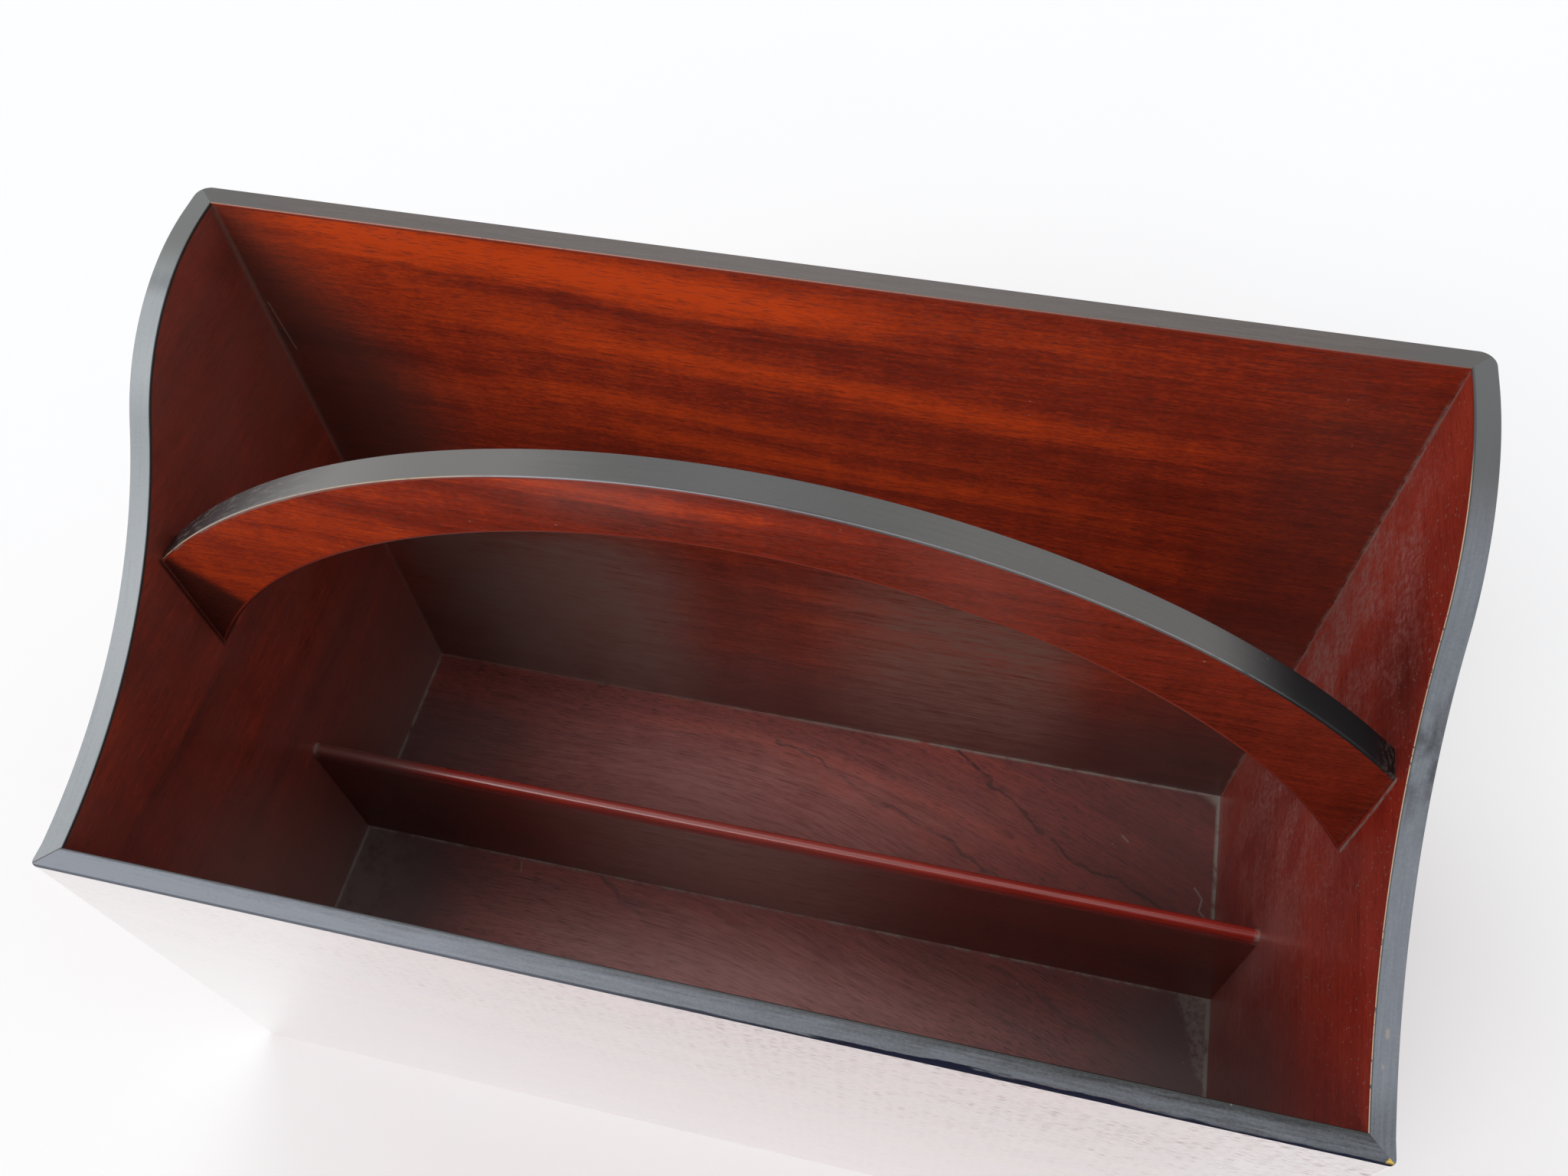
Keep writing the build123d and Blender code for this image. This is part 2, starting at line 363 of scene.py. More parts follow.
class Wire:
    """An output of a shader node. Python's operators on it add the Math nodes they stand for."""

    def __init__(self, tree, socket):
        self.tree = tree
        self.socket = socket

    def node(self, kind, settings=None, inputs=None, output=0):
        """Adds any node: its settings are set first, then the values or links of its sockets."""
        made = self.tree.nodes.new(kind)
        for name, value in (settings or {}).items():
            if name == "stops":
                ramp = made.color_ramp
                while len(ramp.elements) < len(value):
                    ramp.elements.new(1.0)
                for element, (place, tone) in zip(ramp.elements, value):
                    element.position = place
                    element.color = (*tone, 1.0)
            else:
                setattr(made, name, value)
        for name, value in (inputs or {}).items():
            if isinstance(value, Wire):
                self.tree.links.new(value.socket, made.inputs[name])
            else:
                made.inputs[name].default_value = value
        return Wire(self.tree, made.outputs[output] if made.outputs else None)

    def math(self, operation, *others):
        """Adds a Math node."""
        return self.node("ShaderNodeMath", {"operation": operation}, dict(enumerate((self, *others))))

    def __rsub__(self, other):
        return self.node("ShaderNodeMath", {"operation": "SUBTRACT"}, {0: other, 1: self})

    __add__ = __radd__ = partialmethod(math, "ADD")
    __sub__ = partialmethod(math, "SUBTRACT")
    __mul__ = __rmul__ = partialmethod(math, "MULTIPLY")
    __truediv__ = partialmethod(math, "DIVIDE")
    __pow__ = partialmethod(math, "POWER")
    __abs__ = partialmethod(math, "ABSOLUTE")
    greatest = partialmethod(math, "MAXIMUM")
    least = partialmethod(math, "MINIMUM")

    def rise(self, start, end, low=0.0, high=1.0):
        """A soft step, from low at one value to high at another."""
        return self.node(
            "ShaderNodeMapRange",
            {"interpolation_type": "SMOOTHSTEP"},
            {"Value": self, "From Min": start, "From Max": end, "To Min": low, "To Max": high},
        )

    def band(self, centre, half_width):
        """One at a value, falling softly to nothing on both sides of it."""
        return abs(self - centre).rise(half_width, 0.0)

    def noise(self, y, z, detail=2.0, roughness=0.5):
        """Noise at a place whose x is this value, as a value around one half."""
        place = self.node("ShaderNodeCombineXYZ", inputs={0: self, 1: y, 2: z})
        sockets = {"Vector": place, "Scale": 1.0, "Detail": detail, "Roughness": roughness}
        return self.node("ShaderNodeTexNoise", inputs=sockets)

    def specks(self, y, z, radius):
        """Small round spots, one near each whole number of the place."""
        place = self.node("ShaderNodeCombineXYZ", inputs={0: self, 1: y, 2: z})
        distance = self.node("ShaderNodeTexVoronoi", inputs={"Vector": place, "Scale": 1.0})
        return distance.rise(radius, radius * 0.5)

    def tint(self, base, colour):
        """A colour laid over a base, as strongly as this value says."""
        sockets = {0: self}
        for place, tone in ((6, base), (7, colour)):
            sockets[place] = tone if isinstance(tone, Wire) else (*tone, 1.0)
        return self.node("ShaderNodeMix", {"data_type": "RGBA", "clamp_factor": True}, sockets, output=2)


class Finish:
    """A material in the making, with the place on the object in millimetres as three wires."""

    def __init__(self, name, gloss=0.3):
        self.material = bpy.data.materials.new(name)
        self.material.use_nodes = True
        tree = self.material.node_tree
        tree.nodes.clear()
        place = Wire(tree, None).node("ShaderNodeTexCoord", output=3)
        place = place.node("ShaderNodeVectorMath", {"operation": "SCALE"}, {0: place, "Scale": 1 / MM})
        split = place.node("ShaderNodeSeparateXYZ", inputs={0: place})
        self.x, self.y, self.z = (Wire(tree, socket) for socket in split.socket.node.outputs)
        self.roughness = gloss
        self.shine = 0.0  # how strongly the surface shines when it is seen at a low angle
        self.matte = None  # where the surface is dull, and its tone there

    def grain(self, along, across, seed, wood, bands=(), lighter=0.0, wander=12, broad=0.5, pore=0.4, bend=0):
        """The figure of a sliced veneer: soft stripes, streaks, fibres and flecks, and fine dark pores.

        A band is its place across the grain, the change of that place along it, its half width, how much
        lighter it is, and where along the grain it starts and ends. The bend shifts the figure aside.
        The streaks are kept, around one, for layers that should show the grain.
        """
        axes = {"x": self.x, "y": self.y, "z": self.z}
        u, v = axes[along], axes[across]
        drift = v + bend + ((u / 150 + seed).noise(v / 90, seed * 3.1, detail=1.0) - 0.5) * wander
        cloud = (u / 230).noise(drift / 17, seed, detail=2.0) - 0.5
        streak = (u / 40).noise(drift / 2.6, seed + 4.0, detail=3.0, roughness=0.6) - 0.5
        fibre = (u / 9).noise(drift / 0.7, seed + 7.0, detail=2.0, roughness=0.6) - 0.5
        fleck = (u / 1.7).noise(v / 0.9, seed + 9.0, detail=3.0, roughness=0.6) - 0.5
        cross = (u / 7).noise(v / 24, seed + 13.0, detail=2.0) - 0.5
        figure = cloud * broad + streak * 0.36 + fibre * 0.36 + fleck * 0.42 + cross * 0.2 + (0.5 + lighter)
        ragged = drift + streak * 8
        for centre, slope, half_width, lightness, start, end in bands:
            ends = u.rise(start - 30, start + 25) * u.rise(end + 40, end - 35)
            figure = figure + (ragged - u * slope).band(centre, half_width) * ends * lightness
        dark, middle, light = tones(wood)
        stops = [(0.1, dark), (0.5, middle), (0.95, light)]
        colour = figure.node("ShaderNodeValToRGB", {"stops": stops}, {"Fac": figure})
        pores = (u / 5).noise((v + bend) / 0.45, seed + 11.0, detail=1.0).rise(0.56, 0.67)
        self.streaks = streak * 1.6 + fibre * 2.4 + 1
        self.colour = (pores * pore).tint(colour, dark)
        self.roughness = self.roughness + fibre * 0.12 + pores * 0.10
        self.relief = fibre * 0.3 - pores

    def lay(self, amount, tone):
        """Lays a colour over the finish, as strongly as the amount says."""
        self.colour = amount.tint(self.colour, tone)

    def bloom_and_sheen(self, amount, kind="bloom_and_sheen"):
        """Lays a milky film over the finish, or a grey or rosy one: partly bloomed old polish, partly painted
        sheen.
        """
        self.lay(amount, tone_of(kind))

    def dust(self, amount):
        """Lays grey dust over the finish, which dulls it."""
        self.lay(amount, tone_of("dust"))
        self.roughness = self.roughness + amount * 0.35

    def cloudy(self, size, seed, low=0.35, high=0.68):
        """Uneven cover for dust, from nothing to one."""
        place = (self.x / size + seed).noise(self.y / size, self.z / size, detail=3.0, roughness=0.65)
        return place.rise(low, high)

    def specks(self, spacing, radius):
        """Tiny spots, about as far apart as the spacing."""
        return (self.x / spacing).specks(self.y / spacing, self.z / spacing, radius / spacing)

    def close(self, depth, *nodes, **sockets):
        """Ends the material and puts it on nodes of the model or on new pieces.

        The sockets are the shader's values that are the same all over.
        """
        bump = {"Strength": 1.0, "Distance": depth * MM, "Height": self.relief}
        values = {"Base Color": self.colour, "Roughness": self.roughness}
        values["Normal"] = self.colour.node("ShaderNodeBump", inputs=bump)
        values.update({name.replace("_", " "): value for name, value in sockets.items()})
        shader = self.colour.node("ShaderNodeBsdfPrincipled", inputs=values)
        if self.shine:
            facing = shader.node("ShaderNodeLayerWeight", inputs={"Blend": 0.5}, output=1)
            mirror = shader.node("ShaderNodeBsdfGlossy", inputs={"Color": (1, 1, 1, 1), "Roughness": 0.3})
            amount = facing**5.0 * self.shine
            shader = facing.node("ShaderNodeMixShader", inputs={0: amount, 1: shader, 2: mirror})
        if self.matte:
            amount, tone = self.matte
            flat = amount.node("ShaderNodeBsdfDiffuse", inputs={"Color": (*tone, 1.0)})
            shader = amount.node("ShaderNodeMixShader", inputs={0: amount, 1: shader, 2: flat})
        shader.node("ShaderNodeOutputMaterial", inputs={"Surface": shader})
        for node in nodes:
            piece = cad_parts.get(node) or bpy.data.objects[node]
            piece.data.materials.clear()
            piece.data.materials.append(self.material)


def tone_of(name):
    """One of the colours that a user can change."""
    return tuple(getattr(bpy.context.scene.magazine_holder_colours, name))


def tones(wood):
    """The dark, middle and light tone of one of the woods."""
    return [tone_of(f"{wood}_{shade}") for shade in ("dark", "middle", "light")]


def line_through(x, y, points, half_width):
    """One on a line through some points, falling to nothing at a half width."""
    nearest = None
    for (x0, y0), (x1, y1) in zip(points, points[1:]):
        run = Vector((x1 - x0, y1 - y0))
        size = run.length
        run.normalize()
        ahead = (x - x0) * run.x + (y - y0) * run.y
        aside = abs((x - x0) * -run.y + (y - y0) * run.x)
        past = (abs(ahead - size / 2) - size / 2).greatest(0.0)
        near = aside + past
        nearest = near if nearest is None else nearest.least(near)
    return nearest.rise(half_width, half_width * 0.25)


def finish_back_inner():
    """Inside of the back: soft ribbon stripes, orange at the upper left and redder to the right, the orange
    partly painted light.
    """
    wood = Finish("back_inside_mahogany")
    x, z = wood.x, wood.z
    bands = (
        (243, -0.05, 12, 0.43, -150, 18),
        (230, -0.06, 5, -0.14, -120, 30),
        (215, -0.07, 9, 0.22, -95, 100),
        (202, -0.06, 5, -0.06, -110, 60),
        (190, -0.06, 7, 0.18, -80, 85),
        (178, -0.05, 10, 0.24, -60, 90),
        # This dark band at the left end is painted shadow, part of the shade cast by the left end.
        (193, -0.05, 9, -0.20, -200, -105),
        (103, -0.04, 7, 0.16, -20, 70),
        (247, -0.05, 10, 0.12, 55, 110),
        (88, 0.0, 42, 0.13, 5, 105),
        (86, -0.04, 8, 0.14, 0, 110),
    )
    # Lighter towards the upper left: partly the veneer's tone, partly painted light from the upper left.
    lighter = x.rise(110, -110) * z.rise(150, 240) * 0.20 - 0.02
    wood.grain("x", "z", 1.7, "mahogany", bands, lighter, wander=9, broad=0.35)
    # Painted shade low in the box, darker towards the floor and in the lower right corner.
    wood.lay(z.rise(66, 26) * 0.6 + z.rise(90, 40) * x.rise(88, 120) * 0.22, (0.080, 0.026, 0.024))
    # A milky film low on the back, at the left and right of the middle, and a greyer patch at the lower left:
    # partly bloomed polish, partly painted glare reflected from the floor.
    left_veil = x.rise(-178, -136) * x.rise(-32, -76) + 0.2
    veiled = z.rise(138, 96) * left_veil * (wood.cloudy(26, 41, 0.1, 0.9) * 0.5 + 0.5)
    wood.bloom_and_sheen(veiled * (wood.streaks * 0.5 + 0.5), "grey_bloom_and_sheen")
    right_veil = x.rise(-8, 44) * x.rise(116, 76) * z.rise(150, 100) * z.rise(4, 40, 0.5, 0.95)
    wood.lay(right_veil * wood.streaks * (wood.cloudy(26, 41, 0.1, 0.9) * 0.4 + 0.6), (0.290, 0.146, 0.118))
    wood.lay(x.band(-124, 30) * z.rise(104, 70) * 0.28, (0.300, 0.240, 0.235))
    # Painted shadow of the left end on the back, widening downwards and weaker low down, and painted shade
    # along the right end below the rim.
    shade = (x + 156 - ((250 - z) * 0.55).least(34.0)).rise(22, -22) * z.rise(100, 150, 0.14, 0.8)
    wood.lay(shade, (0.072, 0.032, 0.026))
    wood.lay(x.rise(112, 150) * z.rise(252, 225) * 0.34, (0.060, 0.035, 0.030))
    floor_line = (z - FLOOR_MM).rise(2.2, 0.0) * wood.cloudy(12, 2)
    corner = (x + SIDE_MM).rise(1.6, 0.4) * 0.22 + (SIDE_MM - x).rise(1.2, 0.2) * wood.cloudy(5, 5) * 0.45
    scratch = line_through(x, z, ((-165.6, 217), (-163.8, 197)), 0.5) * 0.35
    specks = wood.specks(9, 0.36) * x.rise(-60, 60) * z.rise(120, 180)
    wood.dust(floor_line * 0.5 + corner + scratch + specks * 0.4)
    wood.close(0.02, "back_inner_veneer")


def finish_left_inner():
    """Inside of the left end: dark brown-red, more orange towards the front, paler low down under a milky
    film that is partly painted glare, with a painted shadow in front of the handle's end.
    """
    wood = Finish("left_inside_mahogany")
    y, z = wood.y, wood.z
    bands = (
        (160, 0.0, 12, 0.06, -70, -45),
        (146, 0.0, 6, -0.16, -70, 25),
        (120, 0.02, 16, 0.06, -60, 20),
        (87, 0.02, 5, -0.12, -60, 70),
        (57, 0.0, 8, -0.12, 0, 80),
        (228, 0.1, 10, -0.08, 20, 80),
    )
    wood.grain("y", "z", 5.3, "mahogany", bands, z.rise(190, 245) * -0.12 - 0.02, broad=0.35)
    # A milky film, paler and greyer low down and towards the front, and a greyer one high at the back: partly
    # bloomed polish, partly painted glare reflected from the floor.
    wood.bloom_and_sheen(wood.cloudy(30, 21, 0.1, 0.9) * 0.30 + z.rise(130, 240) * 0.10 + 0.06)
    wood.lay(z.rise(120, 0) * 0.64, (0.270, 0.152, 0.135))
    wood.lay(z.rise(160, 50) * y.rise(-6, -62) * 0.72, (0.370, 0.215, 0.190))
    wood.lay(z.rise(45, 0) * 0.22, (0.400, 0.270, 0.250))
    # A darker patch in front of the handle's end.
    wood.lay(y.band(-28, 28) * z.band(184, 26) * 0.3, (0.030, 0.012, 0.010))
    wood.bloom_and_sheen(z.band(192, 40) * y.rise(0, 60) * 0.16, "grey_bloom_and_sheen")
    # Painted shadow in the narrow gap just in front of the handle's end.
    wood.lay(y.band(-2.9, 1.1) * z.rise(149, 152) * z.rise(199, 196) * 0.85, (0.012, 0.008, 0.006))
    floor_line = (z - FLOOR_MM).rise(2.2, 0.0) * wood.cloudy(10, 3)
    wood.dust(floor_line * 0.7 + (DEPTH_MM - y).rise(1.6, 0.3) * 0.14)
    wood.close(0.02, "left_inner_veneer")


def finish_right_inner():
    """Inside of the right end: deep red, with a painted shadow of the handle, a painted reflection of the
    divider, a rosy film that is partly painted sheen, and pale specks.
    """
    wood = Finish("right_inside_mahogany")
    y, z = wood.y, wood.z
    bands = ((238, 0.1, 12, 0.10, 0, 80), (176, 0.0, 9, 0.12, -80, 0), (120, 0.0, 45, 0.12, -60, 30))
    lighter = z.rise(60, 170) * 0.06 + y.rise(36, 76) * (z.band(158, 48) * 0.46 + 0.34)
    wood.grain("y", "z", 9.1, "crimson", bands, lighter, broad=0.3)
    # Painted shadow of the handle high on the wall, and darker towards the top.
    wood.lay(y.band(22, 34) * z.band(204, 26) * 0.75 + z.rise(205, 250) * 0.2, tones("crimson")[0])
    wood.lay(y.rise(6, -46) * z.rise(140, 70) * 0.64, (0.140, 0.065, 0.058))
    # Painted reflection of the divider: a pale grey patch low down in line with it.
    wood.lay(y.band(-6, 18) * z.rise(125, 90) * 0.2, (0.500, 0.310, 0.295))
    # A rosy film over scuffs towards the back and the top: partly bloomed polish, partly painted sheen.
    scuffs = (y / 1.8 + z / 7).noise(z / 3.4 - y / 9, 5.0, detail=5.0, roughness=0.72).rise(0.40, 0.64)
    patch = (y / 14).noise(z / 20, 2.0, detail=4.0).rise(0.38, 0.60) * 0.75 + 0.25
    place = y.rise(-5, 76) * z.rise(246, 195) * z.rise(40, 110, 0.2, 1.1)
    place = place + y.rise(-60, -5) * z.rise(190, 125) * 0.38 + y.rise(44, 76) * z.band(160, 48) * 0.55
    wood.bloom_and_sheen(patch * (scuffs * 0.75 + 0.2) * place * wood.streaks, "rosy_bloom_and_sheen")
    floor_line = (z - FLOOR_MM).rise(3.2, 0.5) * wood.cloudy(8, 6)
    corner = (DEPTH_MM - y).rise(1.5, 0.3) * wood.cloudy(6, 8, 0.2, 0.6)
    joint = line_through(y, z, ((-2.5, 197), (-3.4, 182), (-3.8, 154)), 0.9) * wood.cloudy(5, 22, 0.25, 0.55)
    marks = y.band(-4.5, 2.0) * z.band(52, 10) * wood.cloudy(2, 27, 0.45, 0.6)
    specks = (y / 1.5).specks(z / 3.4, 3.0, 0.2) * 0.42 + wood.specks(5, 0.36) * 0.8
    specks = specks * z.rise(30, 120) * wood.cloudy(24, 12, 0.25, 0.5)
    wood.dust(floor_line * 0.9 + corner * 0.6 + joint * 0.8 + marks * 0.6 + specks)
    wood.close(0.02, "right_inner_veneer")


def finish_front_inner():
    """Inside of the front."""
    wood = Finish("front_inside_mahogany")
    wood.grain("x", "z", 13.9, "mahogany", wander=10)
    wood.dust((wood.z - FLOOR_MM).rise(2.5, 0.0) * wood.cloudy(12, 8) * 0.6)
    wood.close(0.02, "front_inner_veneer")


def finish_outside():
    """Outsides of the walls, which shine at a low angle, with open pores. Also the dull underside."""
    for seed, side in enumerate(("front", "back", "left", "right")):
        wood = Finish(f"{side}_outside_mahogany", gloss=0.34)
        along = wood.x if side in ("front", "back") else wood.y
        axis = "x" if along is wood.x else "y"
        wood.grain(axis, "z", 21.0 + 4 * seed, "mahogany", wander=10, broad=0.3)
        dashes = (along / 3.4).noise(wood.z / 0.2, 3.0, detail=1.0).rise(0.56, 0.68)
        crowd = (along / 45).noise(wood.z / 12, 8.0, detail=2.0).rise(0.3, 0.65) * 0.7 + 0.3
        high = wood.z.rise(60, 172, 0.25, 1.1) * along.rise(-175, 120, 0.30, 1.4)
        wood.shine = 1.6
        wood.matte = (dashes * crowd * high * 0.62, (0.20, 0.09, 0.08))
        gloss = {"Coat_Weight": 1.0, "Coat_Roughness": 0.16, "Coat_IOR": 1.6, "Sheen_Weight": 0.6}
        wood.close(0.02, f"{side}_outer_veneer", **gloss)
    wood = Finish("underside_mahogany", gloss=0.5)
    wood.grain("x", "y", 37.0, "mahogany", pore=0.7)
    wood.close(0.02, "floor_backing_veneer")


def finish_floor():
    """Floor: purple-brown veneer with flames beside a few dark veins, painted shade near the ends, a rosy
    film that is partly painted sheen, and dust in its joints.
    """
    wood = Finish("floor_mahogany", gloss=0.34)
    x, y = wood.x, wood.y
    bend = (x + 90).greatest(0.0) ** 2.0 * 0.001
    bands = ((72, 0.03, 6, 0.26, -80, 100), (56, 0.03, 5, -0.10, -60, 80), (-6, 0.0, 5, 0.14, -120, 60))
    wood.grain("x", "y", 41.0, "rosewood", bands, wander=20, broad=0.7, pore=0.85, bend=bend)
    wobble = ((x / 9).noise(y / 9, 3.0, detail=1.5) - 0.5) * 6
    veins = (
        (((58, 82), (76, 70), (86, 62), (100, 51), (112, 43), (130, 37), (152, 28)), 1.3, 0.95, 0.10),
        (((-12, 70), (6, 64), (28, 52), (51, 45), (66, 38), (84, 28)), 1.2, 0.95, 0.45),
        (((-70, -2), (-45, -18), (-32, -29), (-26, -40)), 1.6, 0.85, 0.35),
        (((-24, -6), (4, -19), (16, -34)), 1.3, 0.5, 0.30),
        (((88, -6), (104, -13), (120, -22), (152, -31)), 1.3, 0.6, 0.10),
        (((-134, -8), (-122, -17), (-105, -25), (-84, -28)), 2.0, 0.45, 0.25),
        (((-160, 72), (-120, 64), (-60, 40)), 1.6, 0.25, 0.12),
    )
    dark, _, light = tones("rosewood")
    for points, half_width, strength, glow in veins:
        flame = line_through(x + wobble * 1.4, y + wobble * 1.4 + 4.5, points, 6.5)
        wood.lay(flame * glow * wood.cloudy(14, 35, 0.2, 0.7), light)
        vein = line_through(x + wobble, y + wobble, points, half_width)
        wood.lay(vein * strength * wood.cloudy(5, 31, 0.25, 0.55), dark)
    # Painted shade on the floor towards the right end and in the corners of the left end.
    shade = x.rise(40, 150) * y.rise(20, 75, 0.25, 0.42) + x.rise(110, 160) * y.rise(40, -20, 0.15, 0.8)
    shade = shade + x.rise(-84, -146) * y.rise(75, 40) * 0.84 + x.rise(-110, -160) * y.rise(0, -10) * 0.3
    wood.lay(shade, (0.110, 0.066, 0.066))
    # A rosy film over both compartments: partly bloomed polish, partly painted sheen of the sky.
    painted_sheen = x.band(-14, 130) * y.rise(6, -24) * 0.84 + x.band(-24, 160) * y.band(36, 52) * 0.88 + 0.03
    wood.bloom_and_sheen(painted_sheen * (wood.cloudy(18, 43, 0.1, 0.9) * 0.5 + 0.7) * wood.streaks, "rosy_bloom_and_sheen")
    # Painted sheen: a pale patch in the middle of the back compartment.
    wood.lay(x.band(-42, 44) * y.band(37, 26) * 0.15, (0.540, 0.340, 0.330))
    left = (x + SIDE_MM).rise(1.8, 0.2) * 0.95
    right = (SIDE_MM - x).rise(2.0, 0.2) * 1.3
    back = (DEPTH_MM - y).rise(1.6, 0.2) * (x / 60).rise(-1.2, 1.2, 0.25, 0.9)
    lump = ((SIDE_MM - x) + (DEPTH_MM - y)).rise(10, 2) * 0.9
    divider = abs(y - 0.35).rise(3.8, 2.4) * (wood.cloudy(4, 17, 0.42, 0.55) * 0.8 + 0.25)
    film = (x + SIDE_MM).rise(40, 0) * y.rise(4, -4) * 0.28
    wedge = ((SIDE_MM - x) * 2.6 - y).rise(36, 8) * y.rise(3, -3) * (wood.cloudy(2.5, 33) * 0.7 + 0.3)
    lines = left.greatest(right).greatest(back).greatest(divider).greatest(lump)
    hair = line_through(x, y, ((160, 40), (163, 36), (162, 31), (165, 28)), 0.6) * 0.7
    hair = hair.greatest(line_through(x, y, ((-101, -4), (-100, -8)), 0.6) * 0.6)
    hair = hair.greatest(line_through(x, y, ((131, 56), (133.5, 54)), 0.7) * 0.6)
    crumbs = line_through(x, y, ((158, -4), (162, -12), (166, -30)), 4.0) * wood.cloudy(2.0, 37, 0.35, 0.6)
    hair = hair.greatest(crumbs * 0.5)
    wood.dust((lines + film) * wood.cloudy(6, 4, 0.25, 0.6) + wedge + hair + wood.specks(11, 0.4) * 0.6)
    wood.close(0.02, "floor_veneer")


def finish_divider():
    """Faces of the divider, a dark brown under a milky film that is partly painted sheen, in painted shade at
    the left end.
    """
    for node, seed in (("divider_front_veneer", 51.0), ("divider_back_veneer", 55.0)):
        wood = Finish(node.replace("veneer", "mahogany"))
        x, z = wood.x, wood.z
        wood.grain("x", "z", seed, "mahogany", lighter=-0.14, wander=8, broad=0.3)
        # A milky film over the middle, partly bloomed polish and partly painted sheen.
        wood.bloom_and_sheen((x / 45).noise(z / 200, 3.0).rise(0.25, 0.75) * x.band(-5, 135) * 0.6 + 0.05)
        wood.lay(x.band(-14, 88) * z.rise(75, 0, 0.68, 1.2) * wood.streaks + 0.07, (0.400, 0.262, 0.236))
        # Painted shade at the left end, near the left wall.
        wood.lay(x.rise(-80, -140) * 0.4, (0.028, 0.023, 0.021))
        line = (z - FLOOR_MM).rise(1.6, 0.0) * wood.cloudy(9, 7)
        wood.dust(line * 0.7 + wood.specks(13, 0.35) * 0.4)
        wood.close(0.02, node)


def finish_handle():
    """Faces of the handle, orange at the left and a deeper red to the right, the orange partly painted light,
    with a painted shadow on the left tip.
    """
    bands = (
        (221.5, -0.02, 2.4, -0.12, -140, -105),
        (231, -0.10, 5.0, -0.20, -105, -60),
        (239, -0.055, 4.0, -0.08, -110, -50),
        (254.5, -0.03, 3.2, -0.10, -90, -20),
        (262, -0.02, 6.0, 0.34, -70, 20),
        (252, -0.05, 3.0, -0.05, -10, 60),
    )
    for node, seed in (("handle_front_veneer", 61.0), ("handle_back_veneer", 65.0)):
        wood = Finish(node.replace("veneer", "mahogany"), gloss=0.25)
        x, z = wood.x, wood.z
        # Lighter at the left: partly the veneer's tone, partly painted light from the left.
        lighter = x.rise(-20, -100, -0.15, 0.08)
        wood.grain("x", "z", seed, "mahogany", bands, lighter, wander=5, broad=0.25, pore=0.25)
        # A milky film over the middle and the right, partly bloomed polish and partly painted sheen.
        wood.bloom_and_sheen(x.band(-28, 36) * z.rise(243, 262) * 0.26 + x.band(62, 34) * 0.18)
        # Painted shadow of the left end's rim on the left tip of the handle.
        wood.lay((x + SIDE_MM - (203 - z) * 0.9).rise(3, -6) * 0.9, (0.030, 0.010, 0.008))
        wood.dust(wood.specks(7, 0.36) * 0.45)
        wood.close(0.02, node, Specular_IOR_Level=0.25)


def finish_lipping():
    """The divider's lipping: deep red hardwood under a glossy polish with a painted highlight, dull and dusty
    at its ends.
    """
    wood = Finish("divider_lipping_polish", gloss=0.22)
    x, y, z = wood.x, wood.y, wood.z
    fibre = (x / 22).noise(y / 0.5, z / 0.5, detail=3.0)
    stops = [(0.25, (0.20, 0.014, 0.011)), (0.7, (0.44, 0.036, 0.023))]
    wood.colour = fibre.node("ShaderNodeValToRGB", {"stops": stops}, {"Fac": fibre})
    wood.relief = fibre
    dull = x.rise(-108, -140)
    wood.lay(dull * 0.7, (0.066, 0.024, 0.024))
    # Painted highlight: a pinkish, lighter stretch along the middle.
    wood.lay(x.band(-10, 115) * 0.16, (0.50, 0.24, 0.21))
    back_edge = y.rise(1.6, 2.4) * x.rise(-90, -110) * wood.cloudy(4, 15, 0.4, 0.6)
    end = (SIDE_MM - abs(x)).rise(2.2, 0.3) * wood.cloudy(3, 11, 0.3, 0.6)
    wood.dust(dull * 0.10 + back_edge * 0.5 + end * 0.7)
    wood.roughness = wood.roughness + dull * 0.2 + (fibre - 0.5) * 0.08
    wood.close(0.01, "divider_lipping_nose", Coat_Weight=0.7, Coat_Roughness=0.26)


def lacquer(name, along, gloss=0.32):
    """Black lacquer with rubbing marks along the strip. Gives the finish, the marks and the mottle."""
    paint = Finish(f"{name}_lacquer", gloss)
    spread = {"x": (16, 0.8, 4), "y": (0.8, 16, 16), "arch": (20, 0.8, 20)}[along]
    rubbed = (paint.x / spread[0]).noise(paint.y / spread[1], paint.z / spread[2], detail=4.0, roughness=0.65)
    mottle = (paint.x / 0.9).noise(paint.y / 0.6, paint.z / 0.9, detail=3.0, roughness=0.7)
    return paint, rubbed - 0.5, mottle - 0.5


def coat_lacquer(paint, painted_sheen, kind, rubbed, mottle):
    """Lays a painted sheen of one kind over the black, streaked along the rubbing marks, and sets its satin.
    """
    paint.colour = painted_sheen.tint(tone_of("lacquer"), tone_of(kind))
    paint.roughness = paint.roughness + rubbed * 0.14 + painted_sheen * 0.05
    paint.relief = rubbed + mottle * 0.5


def show_mitre(paint, place):
    """The thin brown line where the edgings of the front and the left meet."""
    mitre = abs((paint.x + SIDE_MM) - (paint.y + DEPTH_MM)).rise(0.34, 0.12) * place
    paint.lay(mitre * 0.85, (0.050, 0.022, 0.020))


